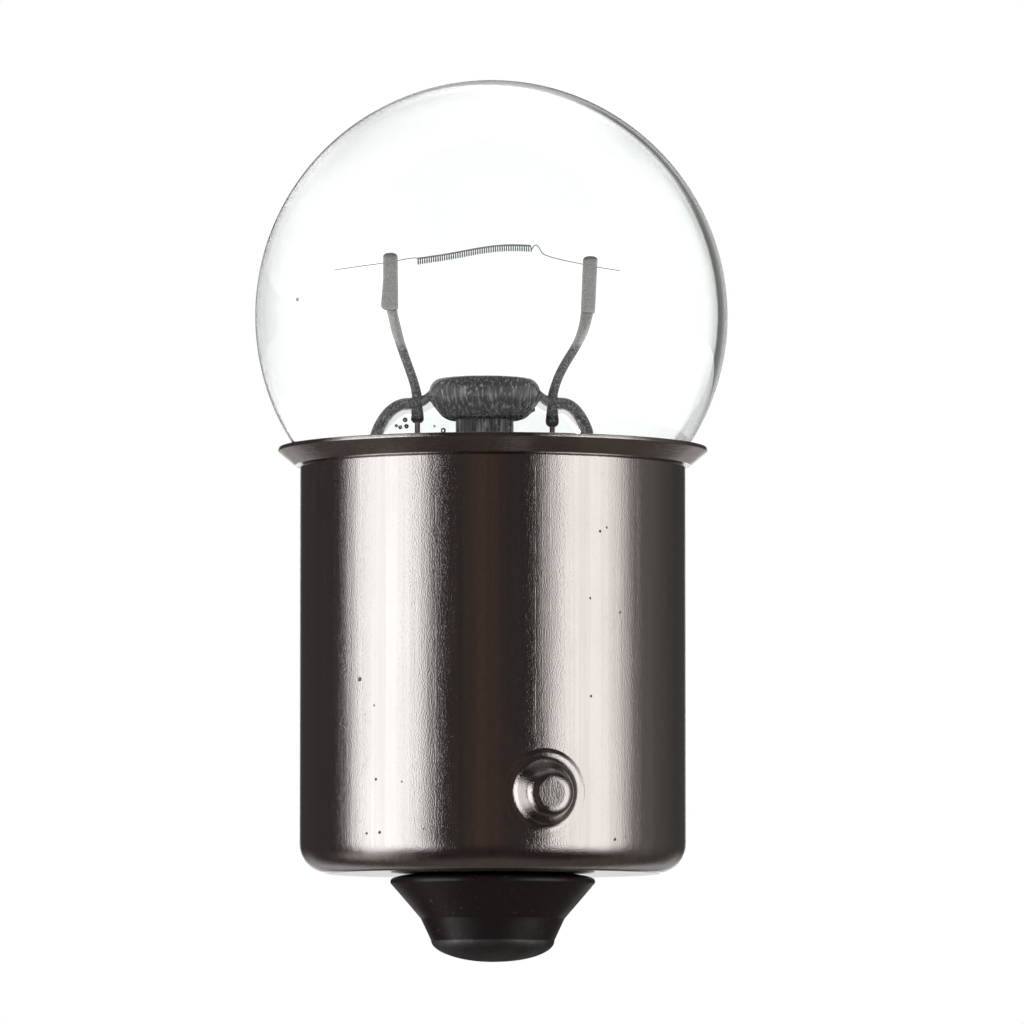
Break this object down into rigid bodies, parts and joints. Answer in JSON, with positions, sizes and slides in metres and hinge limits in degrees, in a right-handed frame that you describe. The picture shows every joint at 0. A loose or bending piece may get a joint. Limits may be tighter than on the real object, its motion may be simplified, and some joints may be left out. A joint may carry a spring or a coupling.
{
  "type": "single filament twist-lock bulb",
  "caption": "Clear globe bulb with one coiled filament on a drawn metal twist-lock cap, with a flared flange, side pins and a soldered centre contact.",
  "frame": {"origin": "where the cap's axis meets the plane through the centres of both locking pins", "axes": "+Z along the cap's axis towards the globe, Y through both locking pins"},
  "size_m": [0.0186, 0.0186, 0.0345],
  "materials": {
    "clear_glass": "clear, polished",
    "stem_glass": "clear, polished",
    "tungsten": "drawn wire",
    "nickel_wire": "drawn wire, dull",
    "copper_clad_wire": "drawn wire",
    "nickel_plate": "satin nickel plate with fine draw lines",
    "black_glass": "glossy, opaque",
    "brass": "plain",
    "solder": "dull, slightly rippled",
    "cement": "matte"
  },
  "bodies": {
    "root": {"glass_envelope": "clear_glass", "glass_stem": "stem_glass", "exhaust_tube": "stem_glass", "filament": "tungsten", "left_lead": "nickel_wire", "right_lead": "nickel_wire", "ground_wire": "copper_clad_wire", "contact_wire": "copper_clad_wire", "cap_shell": "nickel_plate", "insulator": "black_glass", "contact_plate": "brass", "contact_solder": "solder", "ground_solder": "solder", "basing_cement": "cement"}
  },
  "joints": []
}
